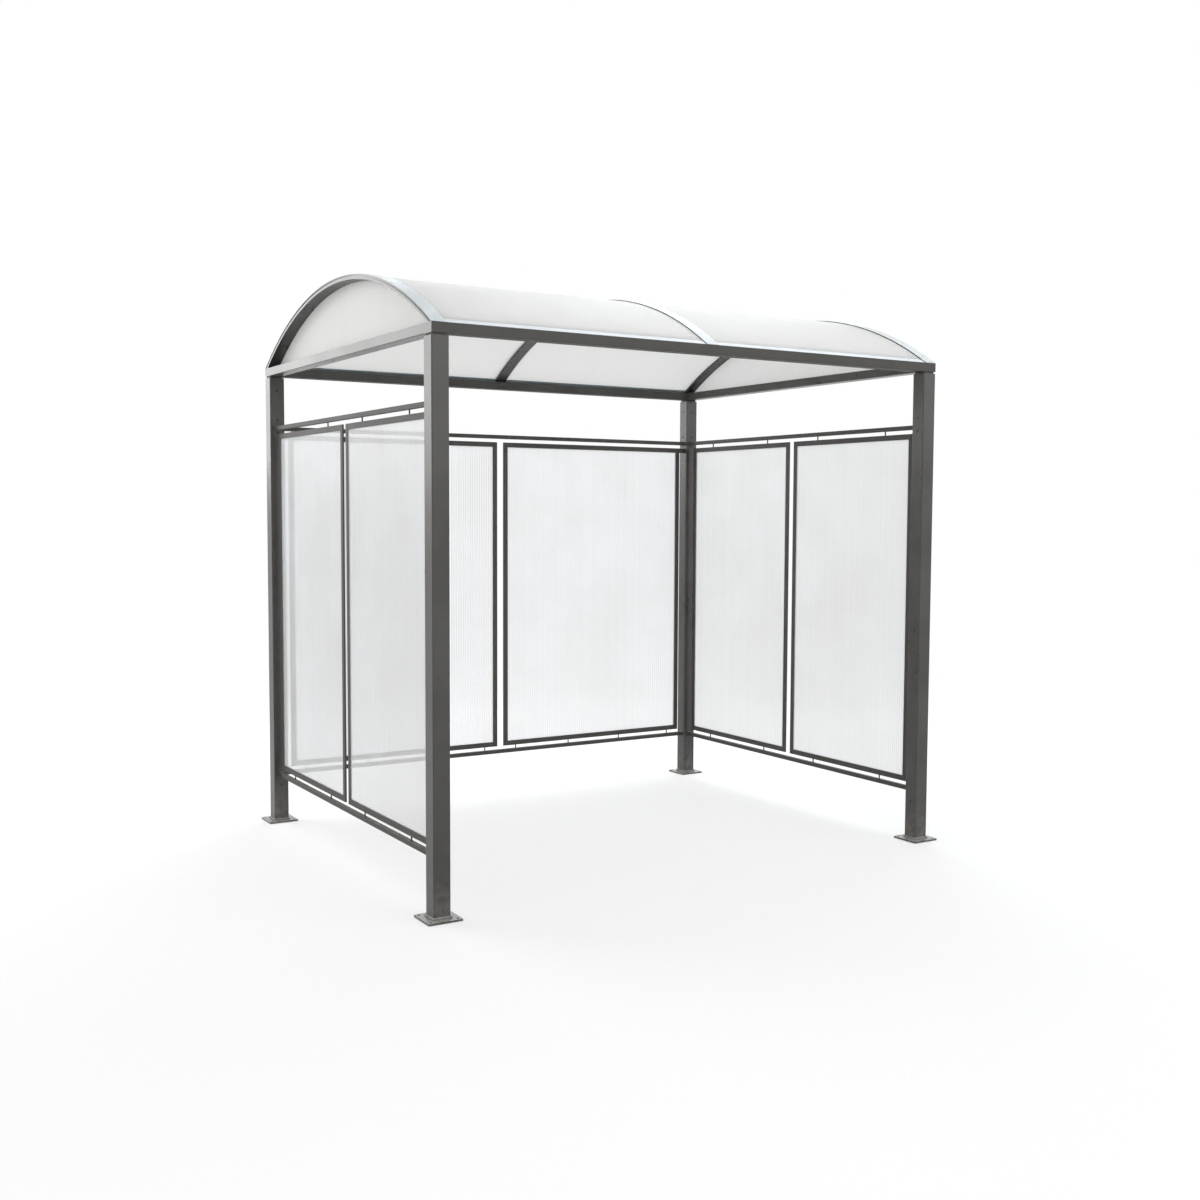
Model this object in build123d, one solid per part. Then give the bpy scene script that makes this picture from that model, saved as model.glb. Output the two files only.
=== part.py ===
"""Open-fronted bike shelter: posts, a ring beam, a vaulted roof with closed gables and three glazed walls.

Millimetres, +Z up, +X along the open front, +Y from the open front to the back wall.
The origin is on the ground, in the middle of the four posts.
"""
import os
from math import acos, degrees

from build123d import *

# Overall sizes, over the outsides of the posts and up to the top of the ring beam
shelter_width = 2500
shelter_depth = 1940
frame_top = 2200
vault_rise = 290

# Posts of square tube, closed at the top by a welded cap
post_side = 70
post_wall = 3
post_corner_radius = 4
post_cap = 5

# Base plates under the posts
base_margin = 35
base_thickness = 8
base_corner_radius = 4
bolt_edge_distance = 15
bolt_hole_radius = 6

# Head plates between the posts and the ring beam
head_inset = 6
head_thickness = 8

# Ring beam of tube laid flat
beam_width = 60
beam_height = 40
beam_wall = 3
beam_corner_radius = 3
beam_cap = 3

# Roof sheets
roof_sheet = 6
sheet_play = 0.3
sheet_growth_gap = 4

# Arches: a capping over the sheets, a web between them and a flat tube under them
arch_cap_thickness = 4
arch_tube_height = 10
arch_tube_wall = 2
middle_tube_width = 54
middle_web = 12
end_web = 6
end_web_inset = 3
arch_overrun_share = 1.1

# Sheets that close the gables, under the right-hand edge of each end arch
gable_sheet = 6
gable_play = 1

# Strips that close the lower edges of the roof sheets
eave_strip_height = 15
eave_strip_wall = 1.5
eave_strip_play = 1

# Walls, from the ground gap up to the open strip under the ring beam, with rails of square tube
wall_ground_gap = 222
wall_top_gap = 238
rail_side = 20
rail_wall = 2
rail_corner_radius = 2

# Wall panels: a sheet in a frame of channel
panel_sheet = 4
panel_growth_gap = 3
panel_post_gap = 28
panel_middle_gap = 38
channel_face = 25
channel_wall = 1.5

# Tabs between rails and panels, as shares of the panel's length
tab_height = 18
tab_thickness = 4
tab_depth = 5
side_tab_shares = (0.215, 0.785)
back_tab_shares = (0.065, 0.355, 0.645, 0.935)

# Sizes, heights and places that follow
base_side = post_side + 2 * base_margin
bolt_spacing = base_side - 2 * bolt_edge_distance
head_side = post_side - 2 * head_inset
beam_bottom = frame_top - beam_height
post_top = beam_bottom - head_thickness
post_x = (shelter_width - post_side) / 2
post_y = (shelter_depth - post_side) / 2
beam_z = frame_top - beam_height / 2
beam_x = (shelter_width - beam_width) / 2
beam_y = (shelter_depth - beam_width) / 2
arch_width = beam_width
wall_top = beam_bottom - wall_top_gap
panel_bottom = wall_ground_gap + rail_side + tab_height
panel_top = wall_top - rail_side - tab_height
panel_height = panel_top - panel_bottom
channel_slot = panel_sheet + 2 * sheet_play
channel_depth = channel_slot + 2 * channel_wall

# Vault: the outside of the arches runs through the outer top edges of the front and back beams
vault_radius = ((shelter_depth / 2) ** 2 + vault_rise**2) / (2 * vault_rise)
vault_centre_z = frame_top + vault_rise - vault_radius
vault_half_angle = degrees(acos((vault_radius - vault_rise) / vault_radius))
sheet_outer_radius = vault_radius - arch_cap_thickness - sheet_play
sheet_inner_radius = sheet_outer_radius - roof_sheet
arch_tube_outer_radius = sheet_inner_radius - sheet_play
arch_tube_inner_radius = arch_tube_outer_radius - arch_tube_height

corners = {
    "front_left": (-1, -1),
    "front_right": (1, -1),
    "back_left": (-1, 1),
    "back_right": (1, 1),
}
nodes = {}


def tube(plane, width, height, wall, corner_radius, length):
    """Tube, centred on the plane and run along its normal."""
    bore = Rectangle(width - 2 * wall, height - 2 * wall)
    section = RectangleRounded(width, height, corner_radius) - bore
    return extrude(plane * section, length / 2, both=True)


def make_post():
    """Post from the base plate up to the head plate, with its cap welded in."""
    height = post_top - base_thickness
    bore = post_side - 2 * post_wall
    outside = extrude(RectangleRounded(post_side, post_side, post_corner_radius), height)
    inside = extrude(Rectangle(bore, bore), height - post_cap)
    return Pos(0, 0, base_thickness) * (outside - inside)


def make_base_plate():
    """Square foot plate with a bolt hole near each corner."""
    holes = GridLocations(bolt_spacing, bolt_spacing, 2, 2) * Circle(bolt_hole_radius)
    return extrude(RectangleRounded(base_side, base_side, base_corner_radius) - holes, base_thickness)


def make_head_plate():
    """Plate that lifts the ring beam off the post and leaves a shadow gap."""
    return extrude(Pos(0, 0, post_top) * Rectangle(head_side, head_side), head_thickness)


def band(x, width, outer_radius, inner_radius):
    """Rectangle at the crown of the vault, between two radii."""
    middle = vault_centre_z + (outer_radius + inner_radius) / 2
    return Pos(x, middle) * Rectangle(width, outer_radius - inner_radius)


def vaulted(section, foot_z):
    """Turn a crown section about the vault's axis and cut its feet level."""
    axis = Axis((0, 0, vault_centre_z), (1, 0, 0))
    sweep = 2 * vault_half_angle * arch_overrun_share
    whole = revolve(Plane.XZ * section, axis, sweep).rotate(axis, -sweep / 2)
    return split(whole, Plane.XY.offset(foot_z), keep=Keep.TOP)


def make_arch(side):
    """Arch at the left end (-1), in the middle (0) or at the right end (1)."""
    web = end_web if side else middle_web
    tube_width = arch_width if side else middle_tube_width
    bore_outer_radius = arch_tube_outer_radius - arch_tube_wall
    bore_inner_radius = arch_tube_inner_radius + arch_tube_wall
    web_x = side * ((shelter_width - web) / 2 - end_web_inset)
    section = band(side * beam_x, arch_width, vault_radius, sheet_outer_radius + sheet_play)
    section += band(web_x, web, vault_radius, bore_outer_radius)
    section += band(side * beam_x, tube_width, arch_tube_outer_radius, arch_tube_inner_radius)
    section -= band(side * beam_x, tube_width - 2 * arch_tube_wall, bore_outer_radius, bore_inner_radius)
    return vaulted(section, frame_top)


def make_roof_sheet(side):
    """Curved sheet from the middle arch's web to an end arch's web, with room to grow."""
    inner = middle_web / 2 + sheet_growth_gap
    outer = shelter_width / 2 - end_web_inset - end_web - sheet_growth_gap
    section = band(side * (inner + outer) / 2, outer - inner, sheet_outer_radius, sheet_inner_radius)
    return vaulted(section, frame_top + eave_strip_wall)


def make_gable_sheet(side):
    """Flat sheet on the left (-1) or right (1) beam, flush with the right-hand face of beam and arch."""
    radius = arch_tube_inner_radius - gable_play
    disc = Pos(0, vault_centre_z) * Circle(radius)
    arch_opening = Pos(0, frame_top + radius / 2) * Rectangle(shelter_depth, radius)
    x = side * beam_x + (beam_width - gable_sheet) / 2
    return extrude(Plane.YZ.offset(x) * (disc & arch_opening), gable_sheet / 2, both=True)


def make_eave_strip(side):
    """Lipped strip on the front (-1) or back (1) beam, one length in each bay."""

    def ring(outer_radius, inner_radius, foot_z):
        reach = Pos(side * shelter_depth / 2, foot_z + eave_strip_height / 2)
        layer = reach * Rectangle(shelter_depth, eave_strip_height)
        return (Pos(0, vault_centre_z) * (Circle(outer_radius) - Circle(inner_radius))) & layer

    slot_outer = sheet_outer_radius + sheet_play
    slot_inner = sheet_inner_radius - sheet_play
    lips = ring(slot_outer + eave_strip_wall, slot_inner - eave_strip_wall, frame_top)
    profile = lips - ring(slot_outer, slot_inner, frame_top + eave_strip_wall)
    start = arch_width / 2 + eave_strip_play
    end = shelter_width / 2 - arch_width - eave_strip_play
    right = extrude(Plane.YZ.offset(start) * profile, end - start)
    return right + mirror(right, about=Plane.YZ)


def make_panel_frame(width):
    """Frame of channel with its slot towards the sheet, bottom edge at zero height."""
    lift = Pos(0, 0, panel_height / 2)
    outside = Box(width, channel_depth, panel_height)
    window = Box(width - 2 * channel_face, channel_depth, panel_height - 2 * channel_face)
    slot = Box(width - 2 * channel_wall, channel_slot, panel_height - 2 * channel_wall)
    return lift * (outside - window - slot)


def make_panel_sheet(width):
    """Flat sheet that stands in the channel and has room to grow at the sides and top."""
    sheet_width = width - 2 * (channel_wall + panel_growth_gap)
    sheet_height = panel_height - 2 * channel_wall - panel_growth_gap
    return Pos(0, 0, channel_wall + sheet_height / 2) * Box(sheet_width, panel_sheet, sheet_height)


def make_wall(wall, panels, place, post_gap, tab_shares, top_tabs):
    """Rails, panels and tabs of one wall, drawn along X and then put in place."""
    rail_heights = {"bottom": wall_ground_gap + rail_side / 2, "top": wall_top - rail_side / 2}
    for level, height in rail_heights.items():
        rail = tube(Plane.YZ, rail_side, rail_side, rail_wall, rail_corner_radius, post_gap)
        nodes[f"{wall}_wall_{level}_rail"] = place * Pos(0, 0, height) * rail

    width = (post_gap - panel_middle_gap) / 2 - panel_post_gap
    tab = Box(tab_thickness, tab_depth, tab_height)
    spacer = Box(panel_post_gap, channel_depth, channel_face)
    small_pieces = []
    for panel, side in panels.items():
        middle = side * (panel_middle_gap + width) / 2
        stand = place * Pos(middle, 0, panel_bottom)
        nodes[f"{wall}_wall_{panel}_frame"] = stand * make_panel_frame(width)
        nodes[f"{wall}_wall_{panel}_sheet"] = stand * make_panel_sheet(width)
        for share in tab_shares:
            x = middle + (share - 1 / 2) * width
            small_pieces.append(Pos(x, 0, panel_bottom - tab_height / 2) * tab)
            if top_tabs:
                small_pieces.append(Pos(x, 0, panel_top + tab_height / 2) * tab)
        if not top_tabs:
            x = side * (post_gap - panel_post_gap) / 2
            small_pieces.append(Pos(x, 0, panel_top - channel_face / 2) * spacer)
    nodes[f"{wall}_wall_tabs"] = place * (Part() + small_pieces)


# Posts with their plates
head_plates = []
for corner, (x_side, y_side) in corners.items():
    stand = Pos(x_side * post_x, y_side * post_y, 0)
    nodes[f"{corner}_post"] = stand * make_post()
    nodes[f"{corner}_base_plate"] = stand * make_base_plate()
    head_plates.append(stand * make_head_plate())
nodes["head_plates"] = Part() + head_plates

# Ring beam: the front and back beams run through and the side beams stand between them
beam = beam_width, beam_height, beam_wall, beam_corner_radius
long_beam = tube(Plane.YZ, *beam, shelter_width - 2 * beam_cap)
short_beam = tube(Plane.XZ, *beam, shelter_depth - 2 * beam_width)
nodes["front_beam"] = Pos(0, -beam_y, beam_z) * long_beam
nodes["back_beam"] = Pos(0, beam_y, beam_z) * long_beam
nodes["left_beam"] = Pos(-beam_x, 0, beam_z) * short_beam
nodes["right_beam"] = Pos(beam_x, 0, beam_z) * short_beam
cap_outline = RectangleRounded(beam_width, beam_height, beam_corner_radius)
cap = extrude(Plane.YZ * cap_outline, beam_cap / 2, both=True)
cap_x = (shelter_width - beam_cap) / 2
nodes["beam_end_caps"] = Part() + [
    Pos(x_side * cap_x, y_side * beam_y, beam_z) * cap for x_side, y_side in corners.values()
]

# Roof
for name, side in {"left": -1, "middle": 0, "right": 1}.items():
    nodes[f"{name}_arch"] = make_arch(side)
for name, side in {"left": -1, "right": 1}.items():
    nodes[f"{name}_roof_sheet"] = make_roof_sheet(side)
    nodes[f"{name}_gable_sheet"] = make_gable_sheet(side)
for name, side in {"front": -1, "back": 1}.items():
    nodes[f"{name}_eave_strip"] = make_eave_strip(side)

# Walls: on the side walls the first panel of the drawing is the one at the front
side_panels = {"front": -1, "back": 1}
back_panels = {"left": -1, "right": 1}
side_gap = shelter_depth - 2 * post_side
back_gap = shelter_width - 2 * post_side
turned = Rot(0, 0, 90)
make_wall("left", side_panels, Pos(-post_x, 0, 0) * turned, side_gap, side_tab_shares, True)
make_wall("right", side_panels, Pos(post_x, 0, 0) * turned, side_gap, side_tab_shares, True)
make_wall("back", back_panels, Pos(0, post_y, 0), back_gap, back_tab_shares, False)

os.makedirs("parts", exist_ok=True)
for name, piece in nodes.items():
    export_step(piece, f"parts/{name}.step")
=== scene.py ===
from math import acos, cos, pi, radians, sin

import bpy
from mathutils import Matrix, Vector


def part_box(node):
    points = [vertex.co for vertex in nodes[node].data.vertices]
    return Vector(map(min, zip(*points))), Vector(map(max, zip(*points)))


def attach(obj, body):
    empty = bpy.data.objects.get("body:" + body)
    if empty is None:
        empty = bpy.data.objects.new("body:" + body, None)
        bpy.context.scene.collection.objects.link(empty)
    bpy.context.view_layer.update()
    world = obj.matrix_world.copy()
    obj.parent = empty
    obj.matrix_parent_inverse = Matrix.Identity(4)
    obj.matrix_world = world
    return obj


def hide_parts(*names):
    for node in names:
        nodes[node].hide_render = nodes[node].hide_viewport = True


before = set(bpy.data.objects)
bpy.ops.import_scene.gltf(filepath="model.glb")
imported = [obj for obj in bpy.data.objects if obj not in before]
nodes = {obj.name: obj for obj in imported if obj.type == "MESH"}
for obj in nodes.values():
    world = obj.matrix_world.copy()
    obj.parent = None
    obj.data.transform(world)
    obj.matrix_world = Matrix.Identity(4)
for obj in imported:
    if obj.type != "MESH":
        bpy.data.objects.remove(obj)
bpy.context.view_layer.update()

scene = bpy.context.scene
scene.view_settings.view_transform = "Standard"

# Sizes in metres, read from the solids where they give them
flute_pitch = 0.0135
flute_hollow = 0.0002
roof_sheet_thickness = 0.006
post_side = 0.070
post_corner_radius = 0.004
rail_side = 0.020
foot_weld_leg = 0.008
rail_weld_leg = 0.003
rail_corner_radius = 0.002
vault_bends = 56
post_plug_radius = 0.0052
post_plug_heights = [1.950, 1.893, 0.182]
back_post_plug_height = 2.090
beam_plug_radius = 0.0045
beam_inner_plug_y = -0.507
beam_under_plug_places = (0.116, 0.332)
floor_radius = 6.5
floor_sides = 96
plate_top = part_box("front_left_base_plate")[1][2]
arch_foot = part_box("middle_arch")[0][2]
arch_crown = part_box("middle_arch")[1][2]
half_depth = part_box("middle_arch")[1][1]
vault_rise = arch_crown - arch_foot
vault_radius = (half_depth**2 + vault_rise**2) / (2 * vault_rise)
vault_centre_z = arch_crown - vault_radius
post_x = (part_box("front_right_post")[0][0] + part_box("front_right_post")[1][0]) / 2
post_y = (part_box("back_left_post")[0][1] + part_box("back_left_post")[1][1]) / 2
corner_sides = [(-1, -1), (1, -1), (-1, 1), (1, 1)]


# Shader node helpers

def add(tree, kind, **values):
    """A node of that kind, with its settings and its input values."""
    node = tree.nodes.new(kind)
    for name, value in values.items():
        if name in node.inputs:
            node.inputs[name].default_value = value
        else:
            setattr(node, name, value)
    return node


def join(tree, *pairs):
    """Links each output to the input beside it."""
    for source, target in pairs:
        tree.links.new(source, target)


def math(tree, operation, first, second=None, third=None):
    """A Math node whose inputs are sockets or numbers. Gives its output."""
    node = add(tree, "ShaderNodeMath", operation=operation)
    for place, value in enumerate((first, second, third)):
        if value is None:
            continue
        if isinstance(value, (int, float)):
            node.inputs[place].default_value = value
        else:
            tree.links.new(value, node.inputs[place])
    return node.outputs[0]


def blend_colours(tree, share, first, second):
    """First colour at share 0, second at share 1. Colours are sockets or values."""
    node = add(tree, "ShaderNodeMix", data_type="RGBA")
    tree.links.new(share, node.inputs["Factor"])
    for place, value in ((6, first), (7, second)):
        if isinstance(value, tuple):
            node.inputs[place].default_value = value
        else:
            tree.links.new(value, node.inputs[place])
    return node.outputs[2]


def ramp(tree, value, low, high, start=0.0, end=1.0):
    """Smooth step of a value from low to high."""
    node = add(tree, "ShaderNodeMapRange", interpolation_type="SMOOTHSTEP")
    node.inputs["From Min"].default_value = low
    node.inputs["From Max"].default_value = high
    node.inputs["To Min"].default_value = start
    node.inputs["To Max"].default_value = end
    tree.links.new(value, node.inputs["Value"])
    return node.outputs["Result"]


def noise(tree, place, scale, detail=2.0, roughness=0.5):
    """Noise value at a place given in metres."""
    node = add(tree, "ShaderNodeTexNoise", Scale=scale, Detail=detail, Roughness=roughness)
    tree.links.new(place, node.inputs["Vector"])
    return node.outputs["Fac"]


def effect_group(name, inputs, outputs):
    """An empty shader group with named number inputs and outputs, and its two end nodes."""
    group = bpy.data.node_groups.new(name, "ShaderNodeTree")
    for label, kind, value in inputs:
        socket = group.interface.new_socket(label, in_out="INPUT", socket_type=kind)
        if value is not None:
            socket.default_value = value
    for label, kind in outputs:
        group.interface.new_socket(label, in_out="OUTPUT", socket_type=kind)
    return group, group.nodes.new("NodeGroupInput"), group.nodes.new("NodeGroupOutput")


def place_group(tree, group, **values):
    """The group as a node in a material, with its own values."""
    node = add(tree, "ShaderNodeGroup", node_tree=group)
    for name, value in values.items():
        node.inputs[name.replace("_", " ")].default_value = value
    return node


# Shared effects

NUMBER, VECTOR = "NodeSocketFloat", "NodeSocketVector"


def make_coat_grain():
    """Orange peel of baked powder, fine speckle, and slow cloudy change of tone."""
    group, given, out = effect_group(
        "coat grain",
        [("Place", VECTOR, None), ("Peel scale", NUMBER, 420.0), ("Cloud scale", NUMBER, 3.5)],
        [("Peel", NUMBER), ("Speckle", NUMBER), ("Cloud", NUMBER)],
    )
    peel = add(group, "ShaderNodeTexNoise", Detail=1.0, Roughness=0.4)
    fine = add(group, "ShaderNodeTexNoise", Detail=0.0)
    cloud = add(group, "ShaderNodeTexNoise", Detail=4.0, Roughness=0.6)
    for node in (peel, fine, cloud):
        join(group, (given.outputs["Place"], node.inputs["Vector"]))
    fine_scale = math(group, "MULTIPLY", given.outputs["Peel scale"], 2.6)
    join(
        group,
        (given.outputs["Peel scale"], peel.inputs["Scale"]),
        (fine_scale, fine.inputs["Scale"]),
        (given.outputs["Cloud scale"], cloud.inputs["Scale"]),
        (peel.outputs["Fac"], out.inputs["Peel"]),
        (ramp(group, fine.outputs["Fac"], 0.50, 0.72), out.inputs["Speckle"]),
        (ramp(group, cloud.outputs["Fac"], 0.33, 0.67), out.inputs["Cloud"]),
    )
    return group


def make_edge_wear():
    """Mask of rubbed edges, broken up by noise."""
    group, given, out = effect_group(
        "edge wear",
        [("Place", VECTOR, None), ("Width", NUMBER, 0.002), ("Break up", NUMBER, 35.0)],
        [("Worn", NUMBER)],
    )
    bevel = add(group, "ShaderNodeBevel", samples=4)
    surface = add(group, "ShaderNodeNewGeometry")
    turn = add(group, "ShaderNodeVectorMath", operation="DOT_PRODUCT")
    patch = add(group, "ShaderNodeTexNoise", Detail=3.0, Roughness=0.65)
    join(
        group,
        (given.outputs["Width"], bevel.inputs["Radius"]),
        (bevel.outputs["Normal"], turn.inputs[0]),
        (surface.outputs["Normal"], turn.inputs[1]),
        (given.outputs["Place"], patch.inputs["Vector"]),
        (given.outputs["Break up"], patch.inputs["Scale"]),
    )
    edge = ramp(group, turn.outputs["Value"], 0.995, 0.90)
    broken = ramp(group, patch.outputs["Fac"], 0.42, 0.66)
    join(group, (math(group, "MULTIPLY", edge, broken), out.inputs["Worn"]))
    return group


def make_settled_dust():
    """Mask of dust that lies on upward faces, and of splashes close to the ground."""
    group, given, out = effect_group(
        "settled dust",
        [("Place", VECTOR, None), ("Splash height", NUMBER, 0.22), ("Patch scale", NUMBER, 24.0)],
        [("Dust", NUMBER)],
    )
    surface = add(group, "ShaderNodeNewGeometry")
    upward = add(group, "ShaderNodeSeparateXYZ")
    height = add(group, "ShaderNodeSeparateXYZ")
    patch = add(group, "ShaderNodeTexNoise", Detail=5.0, Roughness=0.7)
    join(
        group,
        (surface.outputs["Normal"], upward.inputs[0]),
        (given.outputs["Place"], height.inputs[0]),
        (given.outputs["Place"], patch.inputs["Vector"]),
        (given.outputs["Patch scale"], patch.inputs["Scale"]),
    )
    lying = ramp(group, upward.outputs["Z"], 0.55, 1.0)
    low = math(group, "DIVIDE", height.outputs["Z"], given.outputs["Splash height"])
    splashed = ramp(group, low, 1.0, 0.0, 0.0, 0.8)
    most = math(group, "MAXIMUM", lying, splashed)
    broken = ramp(group, patch.outputs["Fac"], 0.36, 0.70)
    join(group, (math(group, "MULTIPLY", most, broken), out.inputs["Dust"]))
    return group


def make_flute_lines():
    """Mask of the ribs between the flutes of a twin-wall sheet, and a tone for each flute."""
    group, given, out = effect_group(
        "flute lines",
        [("Across", NUMBER, None), ("Pitch", NUMBER, flute_pitch), ("Rib share", NUMBER, 0.3)],
        [("Rib", NUMBER), ("Flute tone", NUMBER)],
    )
    count = math(group, "DIVIDE", given.outputs["Across"], given.outputs["Pitch"])
    swing = math(group, "PINGPONG", count, 0.5)
    near = math(group, "DIVIDE", swing, given.outputs["Rib share"])
    tone = add(group, "ShaderNodeTexWhiteNoise", noise_dimensions="1D")
    join(
        group,
        (math(group, "FLOOR", count), tone.inputs["W"]),
        (ramp(group, near, 1.0, 0.25), out.inputs["Rib"]),
        (tone.outputs["Value"], out.inputs["Flute tone"]),
    )
    return group


def make_rain_streaks():
    """Mask of faint upright streaks and of a dull film."""
    group, given, out = effect_group(
        "rain streaks",
        [("Place", VECTOR, None), ("Streak scale", NUMBER, 26.0), ("Film scale", NUMBER, 2.2)],
        [("Streak", NUMBER), ("Film", NUMBER)],
    )
    drawn = add(group, "ShaderNodeVectorMath", operation="MULTIPLY")
    drawn.inputs[1].default_value = (1.0, 1.0, 0.04)
    streak = add(group, "ShaderNodeTexNoise", Detail=4.0, Roughness=0.6)
    film = add(group, "ShaderNodeTexNoise", Detail=3.0, Roughness=0.55)
    join(
        group,
        (given.outputs["Place"], drawn.inputs[0]),
        (drawn.outputs["Vector"], streak.inputs["Vector"]),
        (given.outputs["Streak scale"], streak.inputs["Scale"]),
        (given.outputs["Place"], film.inputs["Vector"]),
        (given.outputs["Film scale"], film.inputs["Scale"]),
        (ramp(group, streak.outputs["Fac"], 0.45, 0.75), out.inputs["Streak"]),
        (ramp(group, film.outputs["Fac"], 0.3, 0.7), out.inputs["Film"]),
    )
    return group


coat_grain = make_coat_grain()
edge_wear = make_edge_wear()
settled_dust = make_settled_dust()
flute_lines = make_flute_lines()
rain_streaks = make_rain_streaks()


# Finishes

def start_finish(name):
    """A material with one Principled shader. Gives it, its tree, the shader and the place on the object."""
    finish = bpy.data.materials.new(name)
    finish.use_nodes = True
    tree = finish.node_tree
    shader = tree.nodes["Principled BSDF"]
    place = add(tree, "ShaderNodeTexCoord").outputs["Object"]
    return finish, tree, shader, place


def bump(tree, shader, height, strength, distance):
    """Lets a height shape the shader's normal."""
    node = add(tree, "ShaderNodeBump", Strength=strength, Distance=distance)
    join(tree, (height, node.inputs["Height"]), (node.outputs["Normal"], shader.inputs["Normal"]))


# Painted light: pale colours that upward faces blend towards. They stand in for the sky's reflection and for
# light from above.
painted_sky_reflection = (0.52, 0.57, 0.60, 1)
painted_top_light = (0.57, 0.565, 0.55, 1)


def make_powder_coat(
    name, dark, light, dullness, dusting=0.30, ripple_scale=None, peel=0.12, painted_sheen_share=0.0, film=painted_sky_reflection
):
    """Warm grey baked powder with orange peel, rubbed edges and dust, and a painted sheen on top faces: a
    pale colour that stands in for light from above and the sky's reflection.
    """
    finish, tree, shader, place = start_finish(name)
    grain = place_group(tree, coat_grain)
    worn = place_group(tree, edge_wear, Width=0.0022)
    dust = place_group(tree, settled_dust)
    for node in (grain, worn, dust):
        join(tree, (place, node.inputs["Place"]))
    tone = math(tree, "MULTIPLY_ADD", grain.outputs["Speckle"], 0.35, grain.outputs["Cloud"])
    colour = blend_colours(tree, math(tree, "MULTIPLY", tone, 0.74), dark, light)
    colour = blend_colours(
        tree, math(tree, "MULTIPLY", worn.outputs["Worn"], 0.18), colour, (0.24, 0.235, 0.22, 1)
    )
    colour = blend_colours(
        tree, math(tree, "MULTIPLY", dust.outputs["Dust"], dusting), colour, (0.42, 0.40, 0.36, 1)
    )
    # Painted sheen: upward faces blend towards the colour given as film, which stands in for light from
    # above rather than a real film.
    if painted_sheen_share:
        upward = add(tree, "ShaderNodeSeparateXYZ")
        join(tree, (add(tree, "ShaderNodeNewGeometry").outputs["Normal"], upward.inputs[0]))
        share = ramp(tree, upward.outputs["Z"], 0.55, 0.80, 0.0, painted_sheen_share)
        colour = blend_colours(tree, share, colour, film)
    dull = math(tree, "MULTIPLY_ADD", grain.outputs["Cloud"], 0.07, dullness)
    dull = math(tree, "MULTIPLY_ADD", dust.outputs["Dust"], 0.18, dull)
    join(tree, (colour, shader.inputs["Base Color"]), (dull, shader.inputs["Roughness"]))
    shader.inputs["IOR"].default_value = 1.42
    height = grain.outputs["Peel"]
    if ripple_scale:
        rings = noise(tree, place, ripple_scale, 1.0)
        height = math(tree, "MULTIPLY_ADD", rings, 2.5, height)
    bump(tree, shader, height, peel, 0.0008)
    return finish


def sheet_across(tree, place, along_x):
    """Distance across the flutes of a sheet."""
    apart = add(tree, "ShaderNodeSeparateXYZ")
    join(tree, (place, apart.inputs[0]))
    return apart.outputs["X" if along_x else "Y"]


def pass_soft_light(tree, shader, colour, share):
    """Lets a share of the light shine softly through the sheet."""
    glow = add(tree, "ShaderNodeBsdfTranslucent", Color=colour)
    both = add(tree, "ShaderNodeMixShader", Fac=share)
    join(
        tree,
        (shader.outputs["BSDF"], both.inputs[1]),
        (glow.outputs["BSDF"], both.inputs[2]),
        (both.outputs["Shader"], tree.nodes["Material Output"].inputs["Surface"]),
    )


def make_hazy_sheet(name, along_x, glow):
    """Hazy twin-wall sheet with upright flutes, clearer near its foot."""
    finish, tree, shader, place = start_finish(name)
    flutes = place_group(tree, flute_lines, Rib_share=0.28)
    rain = place_group(tree, rain_streaks)
    height = add(tree, "ShaderNodeSeparateXYZ")
    join(
        tree,
        (sheet_across(tree, place, along_x), flutes.inputs["Across"]),
        (place, rain.inputs["Place"]),
        (place, height.inputs[0]),
    )
    tone = math(tree, "MULTIPLY_ADD", flutes.outputs["Flute tone"], 0.10, flutes.outputs["Rib"])
    colour = blend_colours(
        tree, math(tree, "MULTIPLY", tone, 0.95), (0.97, 0.965, 0.955, 1), (0.28, 0.285, 0.29, 1)
    )
    colour = blend_colours(
        tree, math(tree, "MULTIPLY", rain.outputs["Film"], 0.5), colour, (0.85, 0.885, 0.94, 1)
    )
    haze = ramp(tree, height.outputs["Z"], 0.35, 1.20, 0.20, 0.28)
    solid = math(tree, "MULTIPLY_ADD", flutes.outputs["Rib"], 0.30, haze)
    dull = math(tree, "MULTIPLY_ADD", rain.outputs["Streak"], 0.12, 0.30)
    join(
        tree,
        (colour, shader.inputs["Base Color"]),
        (dull, shader.inputs["Roughness"]),
        (solid, shader.inputs["Alpha"]),
    )
    shader.inputs["IOR"].default_value = 1.45
    shader.inputs["Specular IOR Level"].default_value = 0.35
    bump(tree, shader, flutes.outputs["Rib"], 0.25, 0.0006)
    pass_soft_light(tree, shader, glow, 0.27)
    return finish


def make_opal_sheet(name, along_x):
    """Opal twin-wall sheet that passes soft light."""
    finish, tree, shader, place = start_finish(name)
    flutes = place_group(tree, flute_lines, Rib_share=0.28)
    rain = place_group(tree, rain_streaks, Streak_scale=9.0)
    join(
        tree,
        (sheet_across(tree, place, along_x), flutes.inputs["Across"]),
        (place, rain.inputs["Place"]),
    )
    tone = math(tree, "MULTIPLY_ADD", flutes.outputs["Flute tone"], 0.5, flutes.outputs["Rib"])
    colour = blend_colours(
        tree, math(tree, "MULTIPLY", tone, 0.40), (0.92, 0.92, 0.912, 1), (0.76, 0.765, 0.77, 1)
    )
    colour = blend_colours(
        tree, math(tree, "MULTIPLY", rain.outputs["Film"], 0.35), colour, (0.88, 0.878, 0.865, 1)
    )
    dull = math(tree, "MULTIPLY_ADD", rain.outputs["Streak"], 0.10, 0.38)
    join(tree, (colour, shader.inputs["Base Color"]), (dull, shader.inputs["Roughness"]))
    shader.inputs["Specular IOR Level"].default_value = 0.35
    bump(tree, shader, flutes.outputs["Rib"], 0.2, 0.0005)
    pass_soft_light(tree, shader, (0.88, 0.88, 0.872, 1), 0.6)
    return finish


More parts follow.
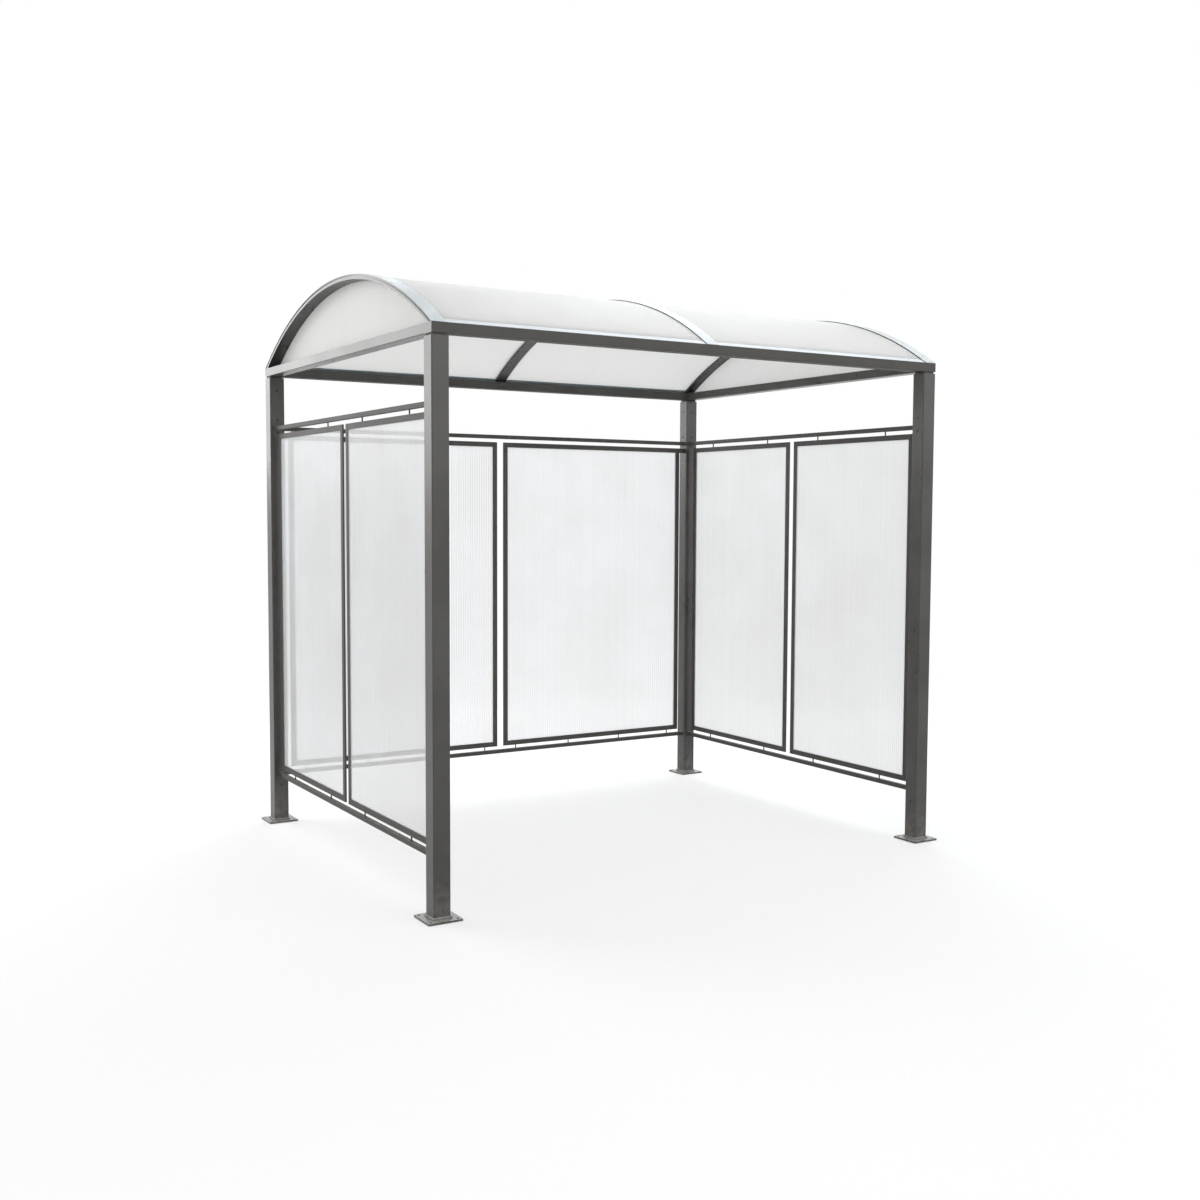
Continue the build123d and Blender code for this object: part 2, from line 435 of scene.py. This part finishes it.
def make_strip_plastic(name):
    """Pale weathered plastic of the eave strips."""
    finish, tree, shader, place = start_finish(name)
    rain = place_group(tree, rain_streaks, Streak_scale=40.0, Film_scale=5.0)
    dust = place_group(tree, settled_dust, Patch_scale=60.0)
    join(tree, (place, rain.inputs["Place"]), (place, dust.inputs["Place"]))
    colour = blend_colours(
        tree, math(tree, "MULTIPLY", rain.outputs["Film"], 0.6), (0.50, 0.56, 0.60, 1), (0.56, 0.61, 0.64, 1)
    )
    colour = blend_colours(
        tree, math(tree, "MULTIPLY", dust.outputs["Dust"], 0.25), colour, (0.46, 0.47, 0.46, 1)
    )
    dull = math(tree, "MULTIPLY_ADD", rain.outputs["Streak"], 0.15, 0.28)
    join(tree, (colour, shader.inputs["Base Color"]), (dull, shader.inputs["Roughness"]))
    bump(tree, shader, rain.outputs["Streak"], 0.05, 0.0005)
    return finish


def make_plug_plastic(name):
    """Near-black moulded plastic of the hole plugs."""
    finish, tree, shader, place = start_finish(name)
    grain = place_group(tree, coat_grain, Peel_scale=900.0)
    dust = place_group(tree, settled_dust, Patch_scale=200.0)
    join(tree, (place, grain.inputs["Place"]), (place, dust.inputs["Place"]))
    colour = blend_colours(
        tree, grain.outputs["Speckle"], (0.012, 0.012, 0.013, 1), (0.022, 0.022, 0.022, 1)
    )
    colour = blend_colours(
        tree, math(tree, "MULTIPLY", dust.outputs["Dust"], 0.25), colour, (0.30, 0.29, 0.27, 1)
    )
    dull = math(tree, "MULTIPLY_ADD", grain.outputs["Speckle"], 0.1, 0.42)
    join(tree, (colour, shader.inputs["Base Color"]), (dull, shader.inputs["Roughness"]))
    bump(tree, shader, grain.outputs["Peel"], 0.1, 0.0003)
    return finish


gloss_coat = make_powder_coat(
    "semi-gloss powder coat", (0.066, 0.064, 0.058, 1), (0.092, 0.090, 0.083, 1), 0.27
)
matt_coat = make_powder_coat("matt powder coat", (0.060, 0.058, 0.053, 1), (0.084, 0.082, 0.076, 1), 0.58)
# The arches' top faces carry a painted sky reflection.
arch_coat = make_powder_coat(
    "powder coat with painted sky reflection", (0.055, 0.054, 0.052, 1), (0.070, 0.069, 0.066, 1), 0.24,
    dusting=0.0, peel=0.02, painted_sheen_share=0.90,
)
# Plates and weld beads: upward faces carry painted top light besides real dust. The welds' lighter base
# colour is a painted highlight.
plate_coat = make_powder_coat(
    "dusty powder coat with painted top light", (0.070, 0.068, 0.062, 1), (0.098, 0.096, 0.088, 1), 0.15,
    dusting=0.45, painted_sheen_share=0.40, film=painted_top_light,
)
weld_coat = make_powder_coat(
    "coated weld", (0.080, 0.078, 0.072, 1), (0.120, 0.117, 0.108, 1), 0.30,
    dusting=0.4, ripple_scale=260.0, painted_sheen_share=0.45, film=painted_top_light,
)
# The back wall's copy lets through less light (0.91 against 0.97), which is painted shade on the back wall.
hazy_sheet_back = make_hazy_sheet("hazy sheet, back wall", True, (0.91, 0.915, 0.92, 1))
hazy_sheet_side = make_hazy_sheet("hazy sheet, side walls", False, (0.97, 0.97, 0.965, 1))
opal_vault = make_opal_sheet("opal sheet, vault", True)
opal_gable = make_opal_sheet("opal sheet, gables", False)
strip_plastic = make_strip_plastic("eave strip plastic")
plug_plastic = make_plug_plastic("plug plastic")


def wear(node, finish):
    """Gives a solid of the model its finish."""
    solid = nodes[node]
    if not solid.material_slots:
        solid.data.materials.append(finish)
    for place in solid.material_slots:
        place.material = finish


finishes = {
    "_post": gloss_coat, "left_beam": gloss_coat, "right_beam": gloss_coat, "_end_caps": gloss_coat,
    "_rail": matt_coat, "_frame": matt_coat, "_tabs": matt_coat, "head_plates": matt_coat,
    "front_beam": matt_coat, "back_beam": matt_coat, "_base_plate": plate_coat, "_arch": arch_coat,
    "_eave_strip": strip_plastic, "_roof_sheet": opal_vault, "_gable_sheet": opal_gable,
    "_wall_left_sheet": hazy_sheet_back, "_wall_right_sheet": hazy_sheet_back,
    "_wall_front_sheet": hazy_sheet_side, "_wall_back_sheet": hazy_sheet_side,
}
for node in nodes:
    wear(node, next(finish for ending, finish in finishes.items() if node.endswith(ending)))


# Pieces

def new_piece(name, points, faces, finish):
    """A closed mesh on the shelter, smooth but for its corners."""
    mesh = bpy.data.meshes.new(name)
    mesh.from_pydata([tuple(p) for p in points], [], faces)
    mesh.update()
    mesh.shade_smooth()
    mesh.set_sharp_from_angle(angle=radians(32))
    mesh.materials.append(finish)
    piece = bpy.data.objects.new(name, mesh)
    scene.collection.objects.link(piece)
    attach(piece, "root")
    return piece


def sheet_mesh(across, levels, spot):
    """Closed sheet between two skins. spot(across, skin, level) gives a point, with skin 0 or 1."""
    rows = len(levels)
    points = [spot(a, skin, level) for level in levels for skin in (0, 1) for a in across]
    wide = len(across)

    def at(row, skin, place):
        return (row * 2 + skin) * wide + place

    faces = []
    for row in range(rows - 1):
        for i in range(wide - 1):
            faces.append((at(row, 0, i), at(row, 0, i + 1), at(row + 1, 0, i + 1), at(row + 1, 0, i)))
            faces.append((at(row, 1, i + 1), at(row, 1, i), at(row + 1, 1, i), at(row + 1, 1, i + 1)))
        faces.append((at(row, 1, 0), at(row, 0, 0), at(row + 1, 0, 0), at(row + 1, 1, 0)))
        last = wide - 1
        faces.append((at(row, 0, last), at(row, 1, last), at(row + 1, 1, last), at(row + 1, 0, last)))
    for i in range(wide - 1):
        faces.append((at(0, 0, i + 1), at(0, 0, i), at(0, 1, i), at(0, 1, i + 1)))
        top = rows - 1
        faces.append((at(top, 0, i), at(top, 0, i + 1), at(top, 1, i + 1), at(top, 1, i)))
    return points, faces


def flute_steps(low, high, per_flute):
    """Places across a sheet, with the share by which the skin is hollow at each."""
    flutes = max(1, round((high - low) / flute_pitch))
    steps = []
    for i in range(flutes * per_flute + 1):
        share = i / (flutes * per_flute)
        hollow = (1 - cos(2 * pi * i / per_flute)) / 2
        steps.append((low + (high - low) * share, hollow))
    return steps


def make_wall_sheet(node, along_x):
    """Fluted sheet of one wall panel, where the solid stands."""
    low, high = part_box(node)
    wide, thick = (0, 1) if along_x else (1, 0)

    def spot(step, skin, z):
        place, hollow = step
        depth = low[thick] + flute_hollow * hollow if skin == 0 else high[thick] - flute_hollow * hollow
        return (place, depth, z) if along_x else (depth, place, z)

    steps = flute_steps(low[wide], high[wide], 4)
    points, faces = sheet_mesh(steps, [low[2], high[2]], spot)
    if not along_x:
        faces = [face[::-1] for face in faces]
    finish = hazy_sheet_back if along_x else hazy_sheet_side
    piece = new_piece(node.replace("_sheet", "_fluted_sheet"), points, faces, finish)
    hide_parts(node)


def make_vault_sheet(node):
    """Fluted roof sheet, bent round the vault, where the solid lies."""
    low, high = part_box(node)
    outer = high[2] - vault_centre_z
    skins = (outer - roof_sheet_thickness, outer)
    foot = low[2]

    def spot(step, skin, share):
        place, hollow = step
        half = acos((foot - vault_centre_z) / skins[skin])
        radius = skins[skin] + flute_hollow * hollow * (1 if skin == 0 else -1)
        turn = half * share
        return (place, radius * sin(turn), vault_centre_z + radius * cos(turn))

    steps = flute_steps(low[0], high[0], 2)
    levels = [2 * i / vault_bends - 1 for i in range(vault_bends + 1)]
    points, faces = sheet_mesh(steps, levels, spot)
    faces = [face[::-1] for face in faces]
    piece = new_piece(node.replace("_sheet", "_fluted_sheet"), points, faces, opal_vault)
    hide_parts(node)


def make_gable_sheet(node):
    """Fluted sheet that closes a gable, where the solid stands."""
    low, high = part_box(node)
    radius = high[2] - vault_centre_z

    def spot(step, skin, share):
        place, hollow = step
        depth = low[0] + flute_hollow * hollow if skin == 0 else high[0] - flute_hollow * hollow
        top = vault_centre_z + (radius**2 - place**2) ** 0.5
        return (depth, place, low[2] + (top - low[2]) * share)

    steps = flute_steps(low[1], high[1], 4)
    points, faces = sheet_mesh(steps[1:-1], [0.0, 1.0], spot)
    faces = [face[::-1] for face in faces]
    piece = new_piece(node.replace("_sheet", "_fluted_sheet"), points, faces, opal_gable)
    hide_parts(node)


def square_path(side, corner_radius, per_corner, per_side):
    """Points round a square with rounded corners, each with its outward direction."""
    flat = side / 2 - corner_radius
    path = []
    for quarter in range(4):
        first = quarter * pi / 2
        centre = Vector((cos(first + pi / 4), sin(first + pi / 4))) * flat * 2**0.5
        for i in range(per_corner + 1):
            turn = first + pi / 2 * i / per_corner
            out = Vector((cos(turn), sin(turn)))
            path.append((centre + out * corner_radius, out))
        start = path[-1][0]
        out = path[-1][1]
        along = Vector((-out.y, out.x))
        for i in range(1, per_side):
            path.append((start + along * (2 * flat * i / per_side), out))
    return path


def weld_ring(place, path, leg, points, faces):
    """Rippled fillet round a square tube that stands on a face. place turns it to the shelter."""
    section = [(-0.0004, -0.0004), (1.0, -0.0004), (0.80, 0.36), (0.55, 0.62), (0.30, 0.85), (-0.0004, 1.0)]
    first = len(points)
    count = len(path)
    for i, (spot, out) in enumerate(path):
        ripple = 1 + 0.09 * sin(2.1 * i) + 0.05 * sin(0.67 * i + 1)
        for reach, rise in section:
            r = reach * leg * ripple if reach > 0 else reach
            z = rise * leg * ripple if rise > 0 else rise
            foot = spot + out * r
            points.append(place @ Vector((foot.x, foot.y, z)))
    size = len(section)
    for i in range(count):
        j = (i + 1) % count
        for k in range(size):
            n = (k + 1) % size
            a, b = first + i * size, first + j * size
            faces.append((a + k, b + k, b + n, a + n))


def make_foot_welds():
    """Welds round the feet of the four posts."""
    points, faces = [], []
    path = square_path(post_side, post_corner_radius, 6, 34)
    for x_side, y_side in corner_sides:
        place = Matrix.Translation((x_side * post_x, y_side * post_y, plate_top))
        weld_ring(place, path, foot_weld_leg, points, faces)
    faces = [face[::-1] for face in faces]
    new_piece("post_foot_welds", points, faces, weld_coat)


def make_rail_welds():
    """Welds round the ends of the wall rails, on the posts."""
    points, faces = [], []
    path = square_path(rail_side, rail_corner_radius, 3, 8)
    for wall in ("left", "right", "back"):
        for level in ("top", "bottom"):
            low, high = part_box(f"{wall}_wall_{level}_rail")
            middle = (Vector(low) + Vector(high)) / 2
            run = 0 if wall == "back" else 1
            for end, towards in ((low[run], 1), (high[run], -1)):
                spot = middle.copy()
                spot[run] = end
                axis = Vector((0, 0, 0))
                axis[run] = towards
                turn = Vector((0, 0, 1)).rotation_difference(axis).to_matrix().to_4x4()
                weld_ring(Matrix.Translation(spot) @ turn, path, rail_weld_leg, points, faces)
    faces = [face[::-1] for face in faces]
    new_piece("rail_end_welds", points, faces, weld_coat)


def plug(spot, axis, radius, points, faces):
    """Domed hole plug with a thin rim, pressed on a face with that outward axis."""
    dome = [(0.0, 0.0016), (0.45, 0.0015), (0.66, 0.0011), (0.74, 0.0007)]
    rim = [(0.86, 0.0009), (1.0, 0.0004), (1.0, 0.0)]
    profile = dome + rim
    sides = 20
    turn = Vector((0, 0, 1)).rotation_difference(Vector(axis)).to_matrix()
    first = len(points)
    points.append(turn @ Vector((0, 0, profile[0][1])) + Vector(spot))
    for share, rise in profile[1:]:
        for i in range(sides):
            angle = 2 * pi * i / sides
            ring = Vector((cos(angle) * share * radius, sin(angle) * share * radius, rise))
            points.append(turn @ ring + Vector(spot))
    rings = len(profile) - 1
    for i in range(sides):
        j = (i + 1) % sides
        faces.append((first, first + 1 + i, first + 1 + j))
        for k in range(rings - 1):
            a, b = first + 1 + k * sides, first + 1 + (k + 1) * sides
            faces.append((a + i, b + i, b + j, a + j))
    last = first + 1 + (rings - 1) * sides
    faces.append(tuple(last + i for i in reversed(range(sides))))


def make_hole_plugs():
    """Plugs in the spare fixing holes on the inner faces of the posts and side beams."""
    points, faces = [], []
    for x_side, y_side in corner_sides:
        heights = post_plug_heights + ([back_post_plug_height] if y_side > 0 else [])
        for z in heights:
            x_face = (x_side * (post_x - post_side / 2), y_side * post_y, z)
            y_face = (x_side * post_x, y_side * (post_y - post_side / 2), z)
            plug(x_face, (-x_side, 0, 0), post_plug_radius, points, faces)
            plug(y_face, (0, -y_side, 0), post_plug_radius, points, faces)
    for beam, x_side in (("left_beam", -1), ("right_beam", 1)):
        low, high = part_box(beam)
        inner = high[0] if x_side < 0 else low[0]
        middle = (low[0] + high[0]) / 2
        inner_spot = (inner, beam_inner_plug_y, (low[2] + high[2]) / 2)
        plug(inner_spot, (-x_side, 0, 0), beam_plug_radius, points, faces)
        for y in beam_under_plug_places:
            plug((middle, y, low[2]), (0, 0, -1), beam_plug_radius, points, faces)
    new_piece("hole_plugs", points, faces, plug_plastic)


for wall, panels in (("left", ("front", "back")), ("right", ("front", "back")), ("back", ("left", "right"))):
    for panel in panels:
        make_wall_sheet(f"{wall}_wall_{panel}_sheet", wall == "back")
for side in ("left", "right"):
    make_vault_sheet(f"{side}_roof_sheet")
    make_gable_sheet(f"{side}_gable_sheet")
make_foot_welds()
make_rail_welds()
make_hole_plugs()


# Floor, world and lamps

def seen_directly(tree):
    """1 for camera, glossy and transmission rays, 0 for the light that falls on things."""
    path = add(tree, "ShaderNodeLightPath")
    first = math(tree, "MAXIMUM", path.outputs["Is Camera Ray"], path.outputs["Is Glossy Ray"])
    return math(tree, "MAXIMUM", first, path.outputs["Is Transmission Ray"])


def make_floor():
    """Pale round floor that fades out into the white round it."""
    finish, tree, shader, place = start_finish("pale floor")
    seen = seen_directly(tree)
    colour = blend_colours(tree, seen, (0.26, 0.26, 0.26, 1), (0.97, 0.97, 0.97, 1))
    speck = ramp(tree, noise(tree, place, 60.0, 4.0), 0.4, 0.7, 0.80, 0.84)
    far = add(tree, "ShaderNodeVectorMath", operation="LENGTH")
    clear = add(tree, "ShaderNodeBsdfTransparent")
    both = add(tree, "ShaderNodeMixShader")
    join(tree, (place, far.inputs[0]))
    edge = ramp(tree, far.outputs["Value"], 2.4, 5.6)
    see_through = math(tree, "MAXIMUM", edge, math(tree, "MULTIPLY", seen, 0.45))
    join(
        tree,
        (colour, shader.inputs["Base Color"]),
        (speck, shader.inputs["Roughness"]),
        (see_through, both.inputs["Fac"]),
        (shader.outputs["BSDF"], both.inputs[1]),
        (clear.outputs["BSDF"], both.inputs[2]),
        (both.outputs["Shader"], tree.nodes["Material Output"].inputs["Surface"]),
    )
    shader.inputs["Specular IOR Level"].default_value = 0.1
    mesh = bpy.data.meshes.new("floor")
    turns = [2 * pi * i / floor_sides for i in range(floor_sides)]
    rim = [(floor_radius * cos(turn), floor_radius * sin(turn), -0.0005) for turn in turns]
    mesh.from_pydata(rim, [], [tuple(range(floor_sides))])
    mesh.materials.append(finish)
    floor = bpy.data.objects.new("floor", mesh)
    scene.collection.objects.link(floor)


def make_world():
    """White to look at, softer as a light."""
    world = bpy.data.worlds.new("white room")
    world.use_nodes = True
    tree = world.node_tree
    sky = tree.nodes["Background"]
    sky.inputs["Color"].default_value = (1, 1, 1, 1)
    join(tree, (math(tree, "MULTIPLY_ADD", seen_directly(tree), 0.20, 0.80), sky.inputs["Strength"]))
    scene.world = world


def softbox(name, spot, aim, width, height, glow, tint=(1, 1, 1)):
    """Square lamp whose face has that brightness, where 1 looks white."""
    lamp = bpy.data.lights.new(name, "AREA")
    lamp.shape = "RECTANGLE"
    lamp.size = width
    lamp.size_y = height
    lamp.energy = glow * pi * width * height
    lamp.color = tint
    holder = bpy.data.objects.new(name, lamp)
    holder.location = spot
    holder.rotation_euler = (Vector(aim) - Vector(spot)).to_track_quat("-Z", "Y").to_euler()
    holder.visible_camera = False
    scene.collection.objects.link(holder)


make_floor()
make_world()
softbox("softbox back left", (-4.4, 6.2, 3.9), (-1.0, 0.2, 2.0), 6.0, 4.2, 3.2)
softbox("softbox back right", (4.5, 6.5, 5.0), (0.3, 0.0, 2.3), 5.0, 5.0, 2.0, (0.91, 0.97, 1.0))
softbox("softbox overhead", (3.9, 2.6, 7.2), (0.0, -0.3, 2.0), 4.6, 4.0, 2.3, (0.93, 0.98, 1.0))
softbox("softbox front right", (4.2, -8.4, 4.3), (0.0, 0.0, 1.7), 8.0, 3.8, 1.7)

# Camera, where the photograph was taken from
camera = bpy.data.cameras.new("camera")
camera.sensor_width = 36.0
camera.lens = 1339.8 / 1200 * camera.sensor_width
eye = bpy.data.objects.new("camera", camera)
eye.matrix_world = (
    Matrix.Translation((-3.2595, -5.4397, 1.5154))
    @ Matrix.Rotation(radians(-31.354), 4, "Z")
    @ Matrix.Rotation(radians(-3.739), 4, "X")
    @ Matrix.Rotation(radians(-0.241), 4, "Y")
    @ Matrix.Rotation(radians(90), 4, "X")
)
scene.collection.objects.link(eye)
scene.camera = eye
